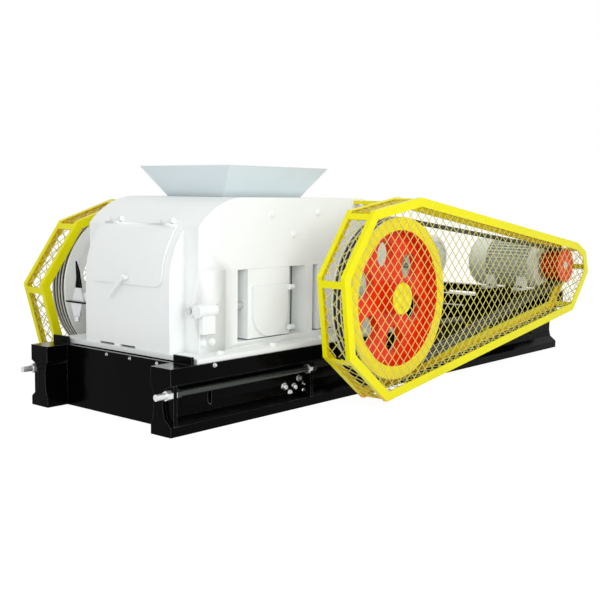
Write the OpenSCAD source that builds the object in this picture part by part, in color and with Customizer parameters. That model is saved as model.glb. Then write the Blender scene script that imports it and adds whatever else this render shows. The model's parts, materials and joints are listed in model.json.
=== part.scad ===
// Double toothed roll crusher: a rounded housing on a base of two long beams, two toothed rolls,
// and on each side a belt drive from a motor at the far end, behind a mesh guard.
// Frame: X runs from the rounded door end to the motor end, the near side is -Y, Z is up.
// The origin is on the floor, in the middle of the base.

/* [Base] */
// Length of the two base beams
base_l = 2950; // [2850:10:3200]
// Width over both beams
base_w = 830; // [810:5:900]
// Height of a beam
beam_h = 245; // [200:5:300]
// Width of a beam
beam_w = 106; // [90:1:120]
// Height of a beam's top flange
beam_top_t = 62; // [40:1:80]
// Height of a beam's bottom flange
beam_foot_t = 36; // [20:1:60]
// Depth of the waist in a beam's outer side
beam_waist = 42; // [20:1:55]
// Setback of an end panel from the ends of the beams
panel_setback = 96; // [60:1:130]
// Thickness of an end panel
panel_t = 14; // [8:1:25]
// Height of a cross member between the beams
cross_h = 160; // [120:5:180]
// Thickness of the cross members' flanges and webs
cross_t = 14; // [8:1:20]
// Radius of a foundation bolt hole
found_r = 14; // [10:1:18]
// Distance of the foundation holes from the beam ends
found_in = 230; // [200:5:260]

/* [Tie rods] */
// Radius of a tie rod
rod_r = 12; // [8:1:16]
// Height of the tie rods above the floor
rod_z = 150; // [146:1:152]
// Reach of a tie rod past the end of the beam
rod_out = 55; // [40:1:80]
// Length of a tie rod inside its beam
rod_in = 800; // [700:10:900]
// Thickness of a tie rod nut
nut_t = 24; // [16:1:30]

/* [Housing] */
// Distance from the beams' left ends to the housing's end
house_in = 145; // [135:1:170]
// Length of the housing
house_l = 1350; // [1340:2:1370]
// Width over the side frames
frame_out_w = 640; // [620:2:660]
// Width of the rounded shell between the side frames
shell_w = 494; // [480:2:510]
// Radius of the rounded top corners
arc_r = 319; // [300:1:330]
// Height of the housing's top above the floor
house_top = 842; // [830:1:870]
// Height of the seam under the top cover
seam_z = 680; // [670:1:700]
// Distance from the housing's end to the side frames
frame_in = 78; // [70:1:90]
// Thickness of the housing's plates
plate_t = 12; // [8:1:16]
// Thickness of the foot flange
foot_t = 18; // [12:1:25]
// Gap between the foot flange and the beam's outer edge
foot_in = 8; // [4:1:20]
// Height of a window's sill above the beams
sill_h = 42; // [36:1:60]
// Height of the windows' top above the floor
window_top = 566; // [560:1:580]
// Length of the window of the adjustable roll
window_a_l = 400; // [390:1:404]
// Length of the window of the fixed roll
window_b_l = 305; // [300:1:315]
// Width of the post between the windows
post_w = 49; // [42:1:50]
// Distance from the middle of the housing to the middle of the post
post_out = 34; // [32:1:38]

/* [Rolls] */
// Height of the roll axes above the floor
axis_z = 438; // [434:1:444]
// Distance between the two roll axes
axis_gap = 423; // [420:1:430]
// Diameter over the tooth tips
tip_d = 400; // [390:1:402]
// Height of a tooth
tooth_h = 34; // [25:1:40]
// Number of teeth round a ring
tooth_n = 12; // [8:1:16]
// Number of toothed rings on a roll
ring_n = 5; // [4:1:6]
// Length of a roll
roll_l = 400; // [380:2:410]
// Radius of the shaft inside the roll
shaft_r = 50; // [40:1:55]
// Radius of the shaft in its bearings
journal_r = 42; // [35:1:45]
// Radius of the shaft in its pulley
shaft_end_r = 37; // [30:1:40]
// Running gap round a journal
run_gap = 0.1; // [0.05:0.01:0.1]

/* [Bearing blocks] */
// Length of a bearing block
block_l = 244; // [230:1:250]
// Height of a bearing block
block_h = 274; // [260:1:276]
// Radius of the round lower end of a block's cover
cap_r = 100; // [90:1:105]
// Height of that radius's centre above the floor
cap_z = 394; // [392:1:396]
// Height of a cover's straight top edge
cap_top = 496; // [490:1:505]
// Thickness of the round cover
cap_t = 12; // [8:1:16]
// Gap between a block and its guides
block_gap = 0.5; // [0.3:0.1:1]

/* [Drive] */
// Radius of a big pulley
big_r = 333; // [325:1:336]
// Radius of a motor pulley
small_r = 87; // [80:1:90]
// Width of the pulleys
pulley_w = 92; // [88:1:96]
// Distance from a beam's outer side to the pulleys
pulley_out = 150; // [146:1:155]
// Number of belts on a side
belt_n = 4; // [3:1:4]
// Pitch of the belt grooves
belt_pitch = 20; // [19:0.5:21]
// Depth of a belt groove
groove_d = 15; // [13:0.5:16]
// Width of a groove at its rim
groove_top_w = 17; // [16.5:0.5:17.5]
// Width of a groove at its floor
groove_floor_w = 12.6; // [12.4:0.1:13]
// Width of a belt
belt_w = 11.6; // [10.5:0.1:11.6]
// Height of a belt's section
belt_t = 11; // [9:0.5:12]
// Gap between a belt and its groove's floor
belt_gap = 2; // [1:0.5:3]
// Number of holes in a big pulley's web
web_hole_n = 6; // [5:1:7]
// Height of the motor axes above the floor
motor_z = 502; // [496:1:508]
// Distance from the beams' left ends to the motor axes
motor_in = 2535; // [2500:5:2550]

/* [Motors] */
// Radius of a motor's body over its fins
motor_r = 129; // [120:1:130]
// Length of a motor's body
motor_l = 245; // [230:5:260]
// Number of cooling fins round a motor
fin_n = 40; // [24:2:48]
// Height of a cooling fin
fin_h = 15; // [10:1:18]
// Length of the fan cowl
cowl_l = 115; // [90:5:125]
// Length of the drive-end shield
shield_l = 60; // [50:1:70]
// Radius of a motor's shaft
motor_shaft_r = 21; // [18:1:24]
// Height of the deck under the motors, above the floor
deck_z = 338; // [330:1:342]
// Width over the two motor decks
deck_out_w = 1000; // [980:5:1020]
// Width of a motor deck
deck_w = 262; // [250:2:290]
// Length of the motor deck
deck_l = 620; // [580:5:660]
// Height of the slide rails
rail_h = 30; // [24:1:36]

/* [Guards] */
// Clearance between a guard's back and its beam's outer side
guard_back = 140; // [136:1:144]
// Depth of a guard
guard_d = 134; // [133:1:142]
// Distance from the big pulley's axis to the guard's corners
guard_r = 423; // [418:1:430]
// Distance from a roll's axis to its guard's first lower bracket
low_bracket_in = 40; // [20:5:80]
// Distance between the two lower brackets
low_bracket_gap = 880; // [800:10:950]
// Distance from a roll's axis to its guard's first upper bracket
top_bracket_in = 130; // [110:5:150]
// Distance between the two upper brackets
top_bracket_gap = 150; // [100:5:180]
// Drop of the brackets under the surface that they hang from
bracket_drop = 38; // [30:1:45]
// Width of a guard bracket
bracket_w = 40; // [30:1:42]
// Thickness of a guard bracket
bracket_t = 14; // [8:1:15]
// Width of the guard's angle bars
angle_w = 37; // [30:1:38]
// Thickness of the guard's angle bars
angle_t = 5; // [4:0.5:6]
// Length of a mesh diamond
mesh_l = 108; // [90:1:130]
// Height of a mesh diamond
mesh_h = 104; // [90:1:130]
// Width of a mesh strand
strand_w = 6; // [4:0.5:8]
// Thickness of the mesh
mesh_t = 3; // [2:0.5:4]

/* [Hopper and door] */
// Height of the hopper's rim above the floor
rim_z = 966; // [950:1:975]
// Length of the hopper's rim
rim_l = 640; // [600:5:700]
// Width of the hopper's rim
rim_w = 560; // [500:5:580]
// Length of the feed opening
feed_l = 450; // [420:5:480]
// Width of the feed opening
feed_w = 310; // [290:5:340]
// Distance of the feed opening's middle from the housing's middle, towards the door
feed_in = 80; // [40:5:100]
// Thickness of the hopper's sheet
hopper_t = 8; // [5:1:10]
// Width of the door
door_w = 424; // [400:2:430]
// Height of the door's lower edge above the floor
door_z = 508; // [500:1:515]
// Angle on the rounded corner at which the door's hinge lies
door_deg = 44; // [42:1:44]
// Thickness of the door
door_t = 8; // [6:1:10]
// Gap between the door and the shell
door_gap = 0.6; // [0.4:0.1:1]

/* [Hidden] */
$fn = 96;
// Small overlap that lets a cut pass its surface
eps = 1;
left_x = -base_l / 2;
house_x = left_x + house_in;
house_end_x = house_x + house_l;
mid_x = house_x + house_l / 2;
feed_x = mid_x - feed_in;
post_x = mid_x + post_out;
window_a_x = post_x - post_w / 2 - window_a_l;
window_b_x = post_x + post_w / 2;
roll_a_x = mid_x - axis_gap / 2;
roll_b_x = mid_x + axis_gap / 2;
motor_x = left_x + motor_in;
frame_x = house_x + frame_in;
frame_end_x = house_end_x - frame_in;
frame_t = (frame_out_w - shell_w) / 2;
arc_x = house_x + arc_r;
arc_z = house_top - arc_r;
arc_end_x = house_end_x - arc_r;
window_z = beam_h + sill_h;
waist_h = beam_h - beam_top_t - beam_foot_t;
waist_z = beam_foot_t + waist_h / 2;
block_z = window_top - block_gap - block_h;
pulley_y = base_w / 2 + pulley_out;
guard_y = base_w / 2 + guard_back;
ring_l = roll_l / ring_n;
door_hinge_x = arc_x - arc_r * cos(door_deg);
door_hinge_z = arc_z + arc_r * sin(door_deg);
shell_end_x = arc_x - arc_r * cos(door_deg + 4);

// Puts children on the near side (side = -1) or, mirrored, on the far side (side = 1)
module on_side(side) {
    if (side < 0) children();
    else mirror([0, 1, 0]) children();
}

// A round bar along +Y from y to y + l
module bar_y(r, y, l, fn = 96) translate([0, y, 0]) rotate([-90, 0, 0]) cylinder(r = r, h = l, $fn = fn);

// A plane shape drawn as [x, z], made l thick from y towards +Y
module slab_y(y, l) translate([0, y + l, 0]) rotate([90, 0, 0]) linear_extrude(l) children();

// A turned shape about +Y, drawn as [radius, y]
module turned_y() rotate([-90, 0, 0]) rotate_extrude() children();

// Base

module beam_profile() {
    hw = beam_w / 2;
    difference() {
        translate([-hw, 0]) square([beam_w, beam_h]);
        // A deep waist in the outer side and a shallow one in the inner side
        translate([-hw, waist_z]) waist_outline(waist_h, beam_waist);
        translate([hw, waist_z]) mirror([1, 0]) waist_outline(waist_h, beam_waist / 3);
    }
}

// Waist outline: a straight floor joined to the flanges by slanted shoulders
module waist_outline(h, d)
    polygon([[-eps, -h / 2], [0, -h / 2], [d * 0.8, -h * 0.32], [d, -h * 0.1], [d, h * 0.2],
             [d * 0.75, h * 0.4], [0, h / 2], [-eps, h / 2]]);

module beam_solid() {
    translate([0, -(base_w - beam_w) / 2, 0]) difference() {
        translate([left_x, 0, 0]) rotate([90, 0, 90]) linear_extrude(base_l) beam_profile();
        for (i = [-1, 1]) translate([i * (base_l / 2 - found_in), 0, -eps])
            cylinder(r = found_r, h = beam_h + 2 * eps);
    }
}

module near_beam() color("#141517") beam_solid();
module far_beam() color("#141517") on_side(1) beam_solid();

module end_panel(x) color("#18191b")
    translate([x, -base_w / 2 + beam_w, 0]) cube([panel_t, base_w - 2 * beam_w, beam_h]);
module left_panel() end_panel(left_x + panel_setback);
module right_panel() end_panel(-left_x - panel_setback - panel_t);

// Channel between the beams, open towards +X
module cross_channel(x, z, h, w, l = 70) translate([x, -w / 2, z]) difference() {
    cube([l, w, h]);
    translate([cross_t, -eps, cross_t]) cube([l, w + 2 * eps, h - 2 * cross_t]);
}

// Places of the cross members: in from the housing's end, past its other end and before the motor axes
cross_in = 150;
cross_past = 130;
cross_before = 60;
cross_drop = 20;
module cross_members() color("#141517")
    for (x = [house_x + cross_in, house_end_x + cross_past, motor_x - cross_before])
        cross_channel(x, beam_h - cross_h - cross_drop, cross_h, base_w - 2 * beam_w);

bar_w = 60;
bar_low_h = 34;
module motor_deck() color("#141517") {
    deck_x = motor_x - deck_l / 2;
    for (side = [-1, 1]) on_side(side) translate([deck_x, -deck_out_w / 2, beam_h]) difference() {
        cube([deck_l, deck_w, deck_z - beam_h]);
        // Open under the top plate, between the two ends
        translate([cross_t, -eps, -eps]) cube([deck_l - 2 * cross_t, deck_w - cross_t + eps, deck_z - beam_h - cross_t + eps]);
    }
    // Cross bars from deck to deck, the upper flush with the decks and the lower on the beams
    for (x = [deck_x, deck_x + deck_l - bar_w]) for (z = [beam_h, deck_z - 42])
        translate([x, -deck_out_w / 2 + deck_w - eps, z]) cube([bar_w, deck_out_w - 2 * deck_w + 2 * eps, z > beam_h ? 42 : bar_low_h]);
}

rail_l = 460;
rail_w = 50;
foot_gap = 127;
// Distances of the motors' feet from the middle
foot_y = [285, 462];
module motor_rails() color("#141517")
    for (s = [-1, 1], y = foot_y) translate([motor_x - rail_l / 2, s * y - rail_w / 2, deck_z])
        cube([rail_l, rail_w, rail_h]);

// Tie rods

// Distance of a rod's axis from the middle, and the ribs that hold it
rod_y = base_w / 2 - beam_waist / 2 + 4;
rib_in = 14;
rib_t = 16;
nut_r = 18.5;
module tie_rod_solid() translate([left_x, -rod_y, rod_z]) {
    rotate([0, 90, 0]) translate([0, 0, -rod_out]) cylinder(r = rod_r, h = rod_out + rod_in);
    for (x = [rib_in - nut_t, rib_in + rib_t, rod_in - nut_t])
        translate([x, 0, 0]) rotate([0, 90, 0]) cylinder(r = nut_r, h = nut_t, $fn = 6);
}
module near_tie_rod() color("#d8dadc") tie_rod_solid();
module far_tie_rod() color("#d8dadc") on_side(1) tie_rod_solid();

module rod_brackets() color("#1c1d20") for (s = [-1, 1]) on_side(s)
    for (x = [left_x + rib_in, left_x + rod_in - nut_t - rib_t]) difference() {
        translate([x, -base_w / 2, waist_z]) rotate([90, 0, 90]) linear_extrude(rib_t)
            intersection() {
                waist_outline(waist_h, beam_waist);
                translate([0, -waist_h]) square([beam_w, 2 * waist_h]);
            }
        translate([x - eps, -rod_y, rod_z]) rotate([0, 90, 0]) cylinder(r = rod_r + run_gap, h = rib_t + 2 * eps);
    }

module stop_plates() color("#141517") for (s = [-1, 1])
    translate([left_x + 104, s * (base_w - beam_w) / 2 - (beam_w - 8) / 2, beam_h]) cube([10, beam_w - 8, 30]);

// Housing

pad_w = 137;
pad_top = 570;
pad_foot_z = beam_h + foot_t + 40;
boss_l = 108;
boss_y = -frame_out_w / 2 - 6;
// Side outline of the housing, inset by d
module house_outline(d) {
    intersection() {
        union() {
            for (x = [arc_x, arc_end_x]) translate([x, arc_z]) circle(r = arc_r - d);
            translate([arc_x, arc_z]) square([arc_end_x - arc_x, arc_r - d]);
            translate([house_x + d, 0]) square([house_l - 2 * d, arc_z]);
        }
        translate([house_x, 0]) square([house_l, house_top + eps]);
    }
}

boss_r = 26;
// Reach of the boss past the side frame's end
boss_over = 12;
pad_t = 4;
module side_frame_solid() difference() {
    union() {
        translate([frame_x, -frame_out_w / 2, beam_h + foot_t])
            cube([frame_end_x - frame_x, frame_t, seam_z - beam_h - foot_t]);
        // Thicker lower plates of the two end columns
        for (m = [0, 1]) translate([m * 2 * mid_x, 0, 0]) mirror([m, 0, 0])
            translate([frame_x, -frame_out_w / 2 - pad_t, beam_h + foot_t]) cube([pad_w, pad_t + eps, pad_top - beam_h - foot_t]);
        // Boss of the adjusting screw, with a flange and a rib under it
        translate([frame_x - boss_over, boss_y, screw_z]) rotate([0, 90, 0]) {
            cylinder(r = boss_r, h = boss_l);
            cylinder(r = boss_r + 9, h = 8);
        }
        translate([frame_x, boss_y - 6, pad_foot_z]) rotate([90, 0, 90]) linear_extrude(12)
            polygon([[-boss_r * 0.7, screw_z - pad_foot_z], [6, 0], [frame_t / 2, 0], [frame_t / 2, screw_z - pad_foot_z]]);
    }
    for (w = [[window_a_x, window_a_l], [window_b_x, window_b_l]])
        translate([w[0], -frame_out_w / 2 - eps, window_z]) cube([w[1], frame_t + 2 * eps, window_top - window_z]);
    // Bore for the adjusting screw
    translate([frame_x - boss_over - eps, screw_y, screw_z]) rotate([0, 90, 0])
        cylinder(r = screw_r + run_gap, h = window_a_x - frame_x + boss_over + 2 * eps);
}
module near_side_frame() color("#f1f4f1") side_frame_solid();
module far_side_frame() color("#f1f4f1") on_side(1) side_frame_solid();

module housing_foot() color("#f1f4f1") difference() {
    translate([house_x - 10, -base_w / 2 + foot_in, beam_h]) cube([house_l + 20, base_w - 2 * foot_in, foot_t]);
    translate([house_x + 60, -shell_w / 2 + 20, beam_h - eps]) cube([house_l - 120, shell_w - 40, foot_t + 2 * eps]);
}

module end_shell_solid() {
    y = shell_w / 2;
    difference() {
        intersection() {
            union() {
                slab_y(-y, 2 * y) difference() {
                    house_outline(0);
                    house_outline(plate_t);
                }
                for (s = [-y, y - plate_t]) slab_y(s, plate_t) house_outline(0);
            }
            union() {
                translate([house_x - eps, -y - eps, beam_h + foot_t]) cube([frame_in + eps, 2 * y + 2 * eps, house_top]);
                translate([frame_x, -y - eps, seam_z]) cube([shell_end_x - frame_x, 2 * y + 2 * eps, house_top]);
            }
        }
        door_opening();
        // Two slots along the foot of the end wall
        for (y = [-53, 72]) translate([house_x - eps, y, beam_h + foot_t - eps]) cube([plate_t + 2 * eps, 88, 8 + eps]);
    }
}

// The wedge of the rounded corner between the door's lower edge and its hinge
module door_sector(r, a0, a1) polygon([[0, 0], each [for (i = [0:12]) let (a = a0 + (a1 - a0) * i / 12)
    [-r * cos(a), r * sin(a)]]]);

module door_opening() {
    w = door_w - 40;
    translate([arc_x, 0, arc_z]) slab_y(-w / 2, w) door_sector(arc_r + 50, 1, door_deg - 4);
}

module left_shell() color("#eef2f0") {
    end_shell_solid();
    hinge_ears();
}
module right_shell() color("#eef2f0") translate([2 * mid_x, 0, 0]) mirror([1, 0, 0]) end_shell_solid();

module top_cover() color("#eef2f0") {
    y = frame_out_w / 2;
    difference() {
        intersection() {
            union() {
                slab_y(-y, 2 * y) difference() {
                    house_outline(0);
                    house_outline(plate_t);
                }
                for (s = [-y, y - frame_t]) slab_y(s, frame_t) house_outline(0);
            }
            translate([frame_x, -y - eps, seam_z]) cube([frame_end_x - frame_x, 2 * y + 2 * eps, house_top]);
        }
        translate([frame_x - eps, -shell_w / 2, seam_z - eps])
            cube([shell_end_x - frame_x + eps, shell_w, house_top]);
        translate([2 * mid_x - shell_end_x, -shell_w / 2, seam_z - eps])
            cube([shell_end_x - frame_x + eps, shell_w, house_top]);
        translate([feed_x - feed_l / 2, -feed_w / 2, seam_z]) cube([feed_l, feed_w, house_top]);
    }
}

// Feed hopper: four sloping sheets between the feed opening and the rim
module hopper() color("#d3dee2") {
    z = rim_z - house_top;
    translate([feed_x, 0, house_top]) difference() {
        frustum(feed_l / 2 + hopper_t, feed_w / 2 + hopper_t, rim_l / 2, rim_w / 2, z);
        translate([0, 0, -0.01]) frustum(feed_l / 2, feed_w / 2, rim_l / 2 - hopper_t, rim_w / 2 - hopper_t, z + 0.02);
    }
}

// Block with a rectangular foot a by b and a rectangular top c by d, all half sizes
module frustum(a, b, c, d, h) intersection() {
    translate([0, d + eps, 0]) rotate([90, 0, 0]) linear_extrude(2 * d + 2 * eps)
        polygon([[-a, 0], [a, 0], [c, h], [-c, h]]);
    translate([-c - eps, 0, 0]) rotate([90, 0, 90]) linear_extrude(2 * c + 2 * eps)
        polygon([[-b, 0], [b, 0], [d, h], [-d, h]]);
}

// Door and its handle

hinge_r = 11;
hinge_out = 13;
hinge_pin_r = 5;
hinge_x = arc_x - (arc_r + hinge_out) * cos(door_deg);
hinge_z = arc_z + (arc_r + hinge_out) * sin(door_deg);
// Distance of the two hinges from the middle, and length of a knuckle
hinge_y = 150;
knuckle_l = 50;
ear_t = 8;
low_deg = asin((door_z - arc_z) / arc_r);

module door() color("#eef2f0") difference() {
    union() {
        translate([arc_x, 0, arc_z]) slab_y(-door_w / 2, door_w) door_band(door_t, low_deg, door_deg - 2.5);
        for (s = [-1, 1]) translate([0, s * hinge_y - knuckle_l / 2, 0]) {
            // Leaf from the plate up to the knuckle
            translate([arc_x, 0, arc_z]) slab_y(0, knuckle_l) door_band(hinge_out, door_deg - 4, door_deg);
            translate([hinge_x, 0, hinge_z]) bar_y(hinge_r, 0, knuckle_l);
        }
    }
    translate([hinge_x, 0, hinge_z]) bar_y(hinge_pin_r + run_gap, -door_w / 2, door_w);
}

// A curved band on the shell, t thick, between two angles
module door_band(t, a0, a1) difference() {
    intersection() {
        circle(r = arc_r + door_gap + t);
        door_sector(arc_r + 60, a0, a1);
    }
    circle(r = arc_r + door_gap);
}

// Ears and pins on the shell that carry the door
module hinge_ears() for (s = [-1, 1]) {
    for (y = [s * hinge_y - knuckle_l / 2 - ear_t - eps, s * hinge_y + knuckle_l / 2 + eps])
        slab_y(y, ear_t) union() {
            translate([hinge_x, hinge_z]) circle(r = hinge_r);
            translate([hinge_x, hinge_z]) rotate(-door_deg) translate([0, -hinge_r])
                square([hinge_out + plate_t / 2, 2 * hinge_r]);
        }
    translate([hinge_x, 0, hinge_z])
        bar_y(hinge_pin_r, s * hinge_y - knuckle_l / 2 - ear_t, knuckle_l + 2 * ear_t);
}

handle_out = 22;
module door_handle() color("#e9edec") {
    x = house_x - door_gap - door_t - run_gap;
    translate([x - handle_out - 12, -7, door_z - 62]) cube([12, 14, 92]);
    translate([x - handle_out, -7, door_z + 8]) cube([handle_out, 14, 14]);
}

// Bearings, shafts and rolls

module block_solid(x, open) translate([x, 0, 0]) difference() {
    union() {
        translate([-block_l / 2, -frame_out_w / 2, block_z]) cube([block_l, frame_t, block_h]);
        slab_y(-frame_out_w / 2 - cap_t, cap_t) union() {
            translate([0, cap_z]) circle(r = cap_r);
            translate([-cap_r, cap_z]) square([2 * cap_r, cap_top - cap_z]);
        }
    }
    translate([0, 0, axis_z]) {
        bar_y(journal_r + run_gap, -frame_out_w / 2 + blind_t, frame_t);
        if (open) bar_y(shaft_end_r + run_gap, -frame_out_w / 2 - cap_t - eps, frame_t);
    }
}
module near_block_a() color("#eef1ee") block_solid(roll_a_x, false);
module far_block_a() color("#eef1ee") on_side(1) block_solid(roll_a_x, true);
module near_block_b() color("#eef1ee") block_solid(roll_b_x, true);
module far_block_b() color("#eef1ee") on_side(1) block_solid(roll_b_x, false);

// Depth of block left outside a journal
blind_t = 8;
screw_r = 14;
screw_y = -frame_out_w / 2 + frame_t / 2;
screw_z = axis_z - 16;
module adjusting_screws() color("#e4e8e6") for (s = [-1, 1]) on_side(s)
    translate([frame_x - 20, screw_y, screw_z]) rotate([0, 90, 0])
        cylinder(r = screw_r, h = roll_a_x - block_l / 2 - frame_x + 20 - block_gap);

// Shaft of one roll, with its pulley on the near side
module shaft_solid() {
    y1 = frame_out_w / 2 - blind_t - run_gap;
    bar_y(shaft_r, -roll_l / 2 - 12, roll_l + 24);
    bar_y(journal_r, -y1, 2 * y1);
    bar_y(shaft_end_r, -pulley_y - pulley_w, pulley_y + pulley_w);
}
module shaft_a() color("#9ea3a6") translate([roll_a_x, 0, axis_z]) on_side(1) shaft_solid();
module shaft_b() color("#9ea3a6") translate([roll_b_x, 0, axis_z]) shaft_solid();

// Outline of one toothed ring, turned by a
module tooth_outline(a) rotate(a) polygon([for (i = [0:tooth_n - 1]) let (p = 360 / tooth_n, r0 = tip_d / 2 - tooth_h)
    each [[r0 * cos(i * p), r0 * sin(i * p)], [r0 * cos((i + 0.25) * p), r0 * sin((i + 0.25) * p)],
          [tip_d / 2 * cos((i + 0.55) * p), tip_d / 2 * sin((i + 0.55) * p)],
          [tip_d / 2 * cos((i + 0.66) * p), tip_d / 2 * sin((i + 0.66) * p)],
          [r0 * cos((i + 0.85) * p), r0 * sin((i + 0.85) * p)]]]);

module roll_solid(dir) difference() {
    union() {
        bar_y(tip_d / 2 - tooth_h, -roll_l / 2, roll_l);
        for (k = [0:ring_n - 1]) slab_y(-roll_l / 2 + k * ring_l + ring_l * 0.22, ring_l * 0.56)
            mirror([dir, 0]) tooth_outline((k % 2) * 180 / tooth_n);
    }
    bar_y(shaft_r, -roll_l / 2 - eps, roll_l + 2 * eps);
}
module roll_a() color("#6b6e70") translate([roll_a_x, 0, axis_z]) roll_solid(0);
module roll_b() color("#6b6e70") translate([roll_b_x, 0, axis_z]) rotate([0, 11, 0]) roll_solid(1);

// Pulleys and belts

// Y of groove number i from a pulley's inner face
function groove_y(i) = pulley_w / 2 + (i - (belt_n - 1) / 2) * belt_pitch;

// Section of a grooved rim from radius r1 out to r
module rim_section(r1, r) difference() {
    translate([r1, 0]) square([r - r1, pulley_w]);
    for (i = [0:belt_n - 1]) translate([r, groove_y(i)])
        polygon([[eps, -groove_top_w / 2], [0, -groove_top_w / 2], [-groove_d, -groove_floor_w / 2],
                 [-groove_d, groove_floor_w / 2], [0, groove_top_w / 2], [eps, groove_top_w / 2]]);
}

rim_t = 55;
web_t = 26;
hub_r = 66;
hub_out = 14;
module big_pulley_solid() translate([0, -pulley_y - pulley_w, 0]) difference() {
    turned_y() union() {
        rim_section(big_r - rim_t, big_r);
        translate([hub_r - eps, pulley_w / 2 - web_t / 2]) square([big_r - rim_t - hub_r + 2 * eps, web_t]);
        translate([shaft_end_r, 0]) square([hub_r - shaft_end_r, pulley_w]);
        // Cap over the end of the shaft
        translate([0, -hub_out]) square([hub_r, hub_out]);
    }
    for (i = [0:web_hole_n - 1]) rotate([0, i * 360 / web_hole_n + 20, 0])
        for (dz = [-9, 9]) translate([171, 0, dz]) bar_y(41, -eps, pulley_w + 2 * eps);
}
module near_pulley() color("#e22a18") translate([roll_b_x, 0, axis_z]) big_pulley_solid();
module far_pulley() color("#e22a18") translate([roll_a_x, 0, axis_z]) on_side(1) big_pulley_solid();

module motor_pulley_solid() translate([motor_x, -pulley_y - pulley_w, motor_z])
    turned_y() rim_section(motor_shaft_r, small_r);
module near_motor_pulley() color("#cf1a08") motor_pulley_solid();
module far_motor_pulley() color("#cf1a08") on_side(1) motor_pulley_solid();

module motor_shaft_solid() translate([motor_x, 0, motor_z])
    bar_y(motor_shaft_r, -pulley_y - pulley_w, pulley_w + 8 + shield_l);
module near_motor_shaft() color("#b9bcbe") motor_shaft_solid();
module far_motor_shaft() color("#b9bcbe") on_side(1) motor_shaft_solid();

// Corners of a loop round a circle of radius ra at the roll and one of radius rb at the motor
function loop_points(x, ra, rb) = let (
    dx = motor_x - x,
    dz = motor_z - axis_z,
    phi = atan2(dz, dx),
    beta = acos((ra - rb) / norm([dx, dz]))
) [
    for (i = [0:loop_n]) let (a = phi + beta + i * (360 - 2 * beta) / loop_n)
        [x + ra * cos(a), axis_z + ra * sin(a)],
    for (i = [0:loop_n / 2]) let (a = phi - beta + i * 4 * beta / loop_n)
        [motor_x + rb * cos(a), motor_z + rb * sin(a)]
];

// Facets of a belt's bend round a big pulley
loop_n = 40;
module belts_solid(x) {
    ra = big_r - groove_d + belt_gap;
    rb = small_r - groove_d + belt_gap;
    for (i = [0:belt_n - 1]) slab_y(-pulley_y - pulley_w + groove_y(i) - belt_w / 2, belt_w) difference() {
        polygon(loop_points(x, ra + belt_t, rb + belt_t));
        polygon(loop_points(x, ra, rb));
    }
}
module near_belts() color("#1a1a1c") belts_solid(roll_b_x);
module far_belts() color("#1a1a1c") on_side(1) belts_solid(roll_a_x);

// Motors

fin_t = 3.6;
// A motor about its axis, drive end at y0
module motor_body(y0) {
    y1 = y0 + shield_l;
    y2 = y1 + motor_l;
    // Drive-end shield with its bearing boss
    turned_y() polygon([[0, y0], [motor_r * 0.34, y0], [motor_r * 0.38, y0 + 10], [motor_r * 0.72, y0 + 18],
                        [motor_r * 0.9, y0 + 26], [motor_r * 0.9, y1 + 2], [0, y1 + 2]]);
    // Body with cooling fins all round
    slab_y(y1, motor_l) union() {
        circle(r = motor_r - fin_h);
        for (i = [0:fin_n - 1]) rotate((i + 0.5) * 360 / fin_n) translate([0, -fin_t / 2])
            square([motor_r - 2, fin_t]);
    }
    // Fan cowl with a rounded end and a recessed intake
    turned_y() polygon([[0, y2 - 2], [motor_r, y2 - 2], [motor_r, y2 + cowl_l - 34], [motor_r - 5, y2 + cowl_l - 17],
                        [motor_r - 16, y2 + cowl_l - 5], [motor_r - 32, y2 + cowl_l], [motor_r - 38, y2 + cowl_l],
                        [motor_r - 38, y2 + cowl_l - 5], [0, y2 + cowl_l - 5]]);
}

box_l = 110;
module motor_solid() {
    y0 = -pulley_y + 8;
    translate([motor_x, 0, motor_z]) difference() {
        union() {
            motor_body(y0);
            // Terminal box on the side away from the housing
            translate([motor_r - fin_h - 12, y0 + shield_l + 60, -30]) cube([58, box_l, 84]);
            translate([motor_r - fin_h + 40, y0 + shield_l + 54, -36]) cube([10, box_l + 12, 96]);
        }
        bar_y(motor_shaft_r + run_gap, y0 - eps, shield_l + 5);
        // Slots of the fan's air intake
        for (a = [0:45:315]) rotate([0, a, 0])
            translate([30, y0 + shield_l + motor_l + cowl_l - 9, -7]) cube([48, 10, 14]);
    }
    // Feet with their webs under the body
    for (y = -foot_y, s = [-1, 1]) {
        translate([motor_x + s * foot_gap - 30, y - 28, deck_z + rail_h]) cube([60, 56, 12]);
        translate([motor_x + s * (foot_gap - 12) - 8, y - 24, deck_z + rail_h + 10]) cube([16, 48, 60]);
        translate([motor_x, y - 24, deck_z + rail_h]) mirror([s < 0 ? 1 : 0, 0, 0]) slab_y(0, 48)
            polygon([[foot_gap - 4, 8], [foot_gap - 4, 40], [foot_gap - 30, 84], [foot_gap - 70, 84], [foot_gap - 24, 8]]);
    }
}
module near_motor() color("#dfe3e2") motor_solid();
module far_motor() color("#dfe3e2") on_side(1) motor_solid();

// Guards

// The guard's corners round the motor pulley, from its axis
guard_tail = [[67, 118], [168, 68], [204, -41], [41, -233]];
// Corners of a guard round a big pulley at x
function guard_points(x) = [
    for (a = [254, 210, 165.5, 122, 76.5]) [x + guard_r * cos(a), axis_z + guard_r * sin(a)],
    for (p = guard_tail) [motor_x + p[0], motor_z + p[1]]
];

// Corner where two lines meet, each given by a point and a direction
function meet(p, u, q, v) = p + u * cross(q - p, v) / cross(u, v);

// A convex clockwise outline moved inwards by d
function inset(pts, d) = [for (i = [0:len(pts) - 1]) let (
    n = len(pts),
    a = pts[(i + n - 1) % n], b = pts[i], c = pts[(i + 1) % n],
    u = (b - a) / norm(b - a), v = (c - b) / norm(c - b)
) meet(b + d * [u[1], -u[0]], u, b + d * [v[1], -v[0]], v)];

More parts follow.
